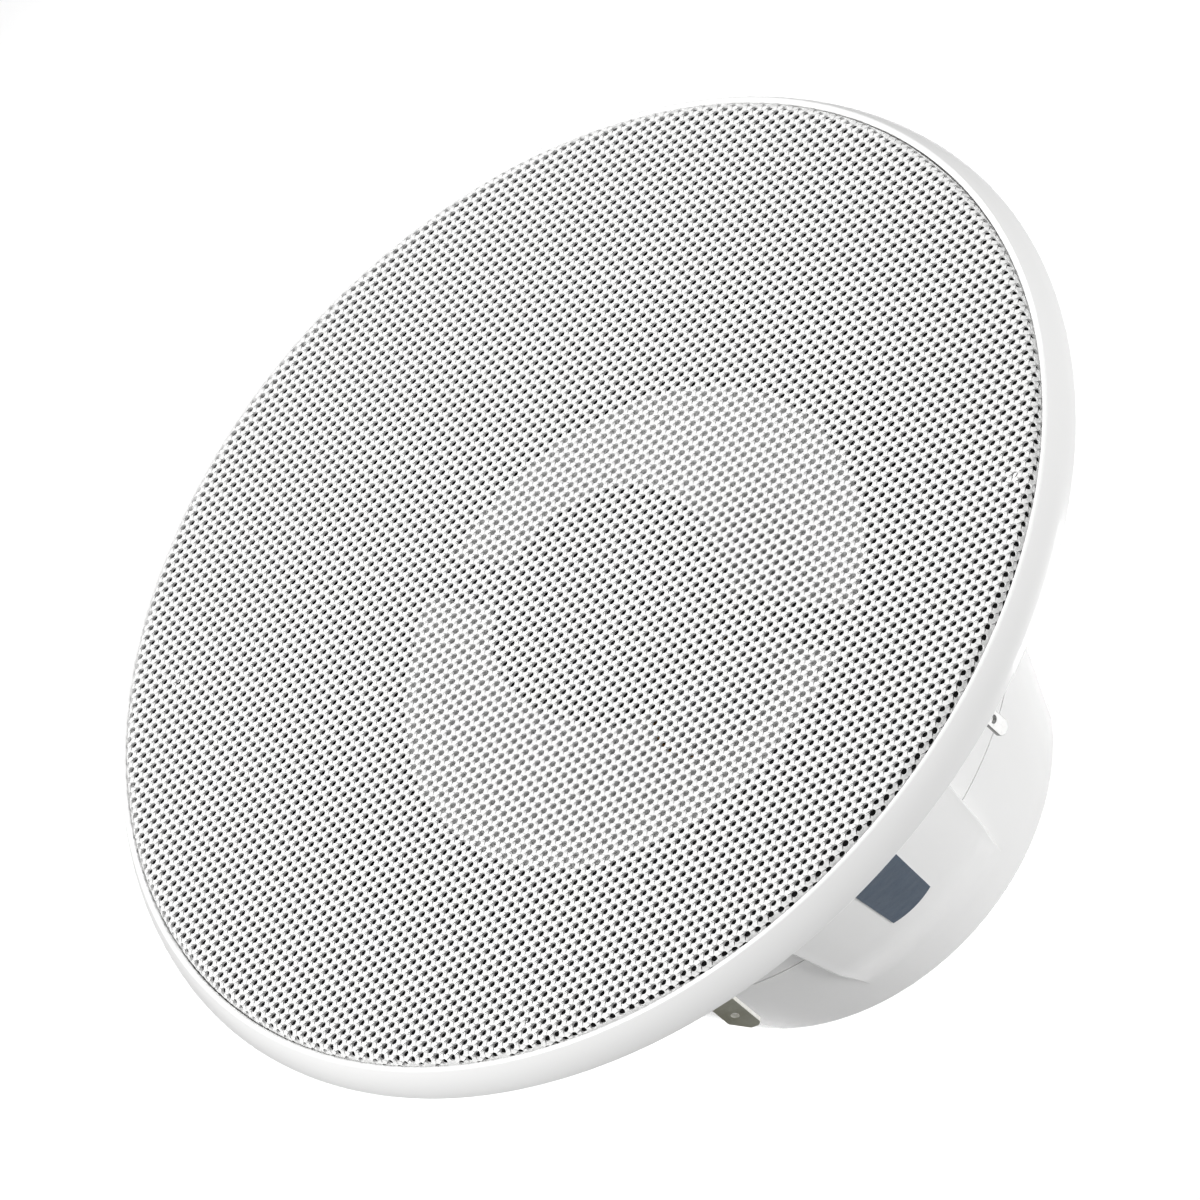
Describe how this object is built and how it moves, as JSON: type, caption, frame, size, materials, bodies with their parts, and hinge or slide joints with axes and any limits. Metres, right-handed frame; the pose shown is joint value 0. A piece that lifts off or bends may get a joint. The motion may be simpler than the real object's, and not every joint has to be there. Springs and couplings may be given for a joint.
{
  "type": "marine speaker",
  "caption": "Round flush-mount marine speaker: domed perforated grille in a white bezel, coaxial woofer and bridge-mounted tweeter, closed white rear body with side terminals.",
  "frame": {"origin": "centre of the panel screw circle, in the plane where the bezel and gasket seat on the panel", "axes": "+Z along the speaker's axis, out of the panel through the grille; the terminals and the raised wiring cover are on the -Y side; X completes a right-handed set"},
  "size_m": [0.176, 0.176, 0.0831],
  "materials": {
    "grille_white": "satin powder coat on perforated sheet",
    "bezel_white": "gloss",
    "gasket_foam": "closed-cell foam",
    "basket_black": "matt, glass-filled",
    "shell_white": "gloss",
    "cover_white": "gloss",
    "seal_rubber": "matt",
    "screw_steel": "stainless",
    "wiring_cover_white": "gloss",
    "label_blue_grey": "semi-matt film",
    "terminal_block_white": "gloss",
    "tab_tinned": "tin plated, slightly toned",
    "tab_tinned_light": "tin plated, bright",
    "lead_copper": "braided copper",
    "cone_white": "satin film cone",
    "surround_rubber": "matt",
    "spider_cloth": "resin-dipped cloth",
    "former_film": "film",
    "coil_copper": "enamelled wire",
    "dust_cap_grey": "satin",
    "plate_steel": "zinc plated",
    "magnet_ferrite": "ground ferrite",
    "tweeter_black": "matt",
    "faceplate_black": "satin",
    "dome_cloth": "coated cloth",
    "tweeter_magnet_steel": "nickel plated",
    "capacitor_blue": "shrink sleeve"
  },
  "bodies": {
    "root": {"grille_mesh": "grille_white", "bezel_ring": "bezel_white", "flange_gasket": "gasket_foam", "basket": "basket_black", "body_shell": "shell_white", "rear_cover": "cover_white", "cover_seal": "seal_rubber", "cover_screws": "screw_steel", "wiring_cover": "wiring_cover_white", "blank_label": "label_blue_grey", "terminal_block": "terminal_block_white", "terminal_positive": "tab_tinned", "terminal_negative": "tab_tinned_light", "lead_wires": "lead_copper", "woofer_cone": "cone_white", "surround": "surround_rubber", "spider": "spider_cloth", "voice_coil_former": "former_film", "voice_coil": "coil_copper", "dust_cap": "dust_cap_grey", "top_plate": "plate_steel", "ring_magnet": "magnet_ferrite", "back_plate_and_pole": "plate_steel", "tweeter_bridge": "tweeter_black", "tweeter_housing": "tweeter_black", "tweeter_faceplate": "faceplate_black", "tweeter_dome": "dome_cloth", "tweeter_magnet": "tweeter_magnet_steel", "tweeter_capacitor": "capacitor_blue"}
  },
  "joints": []
}
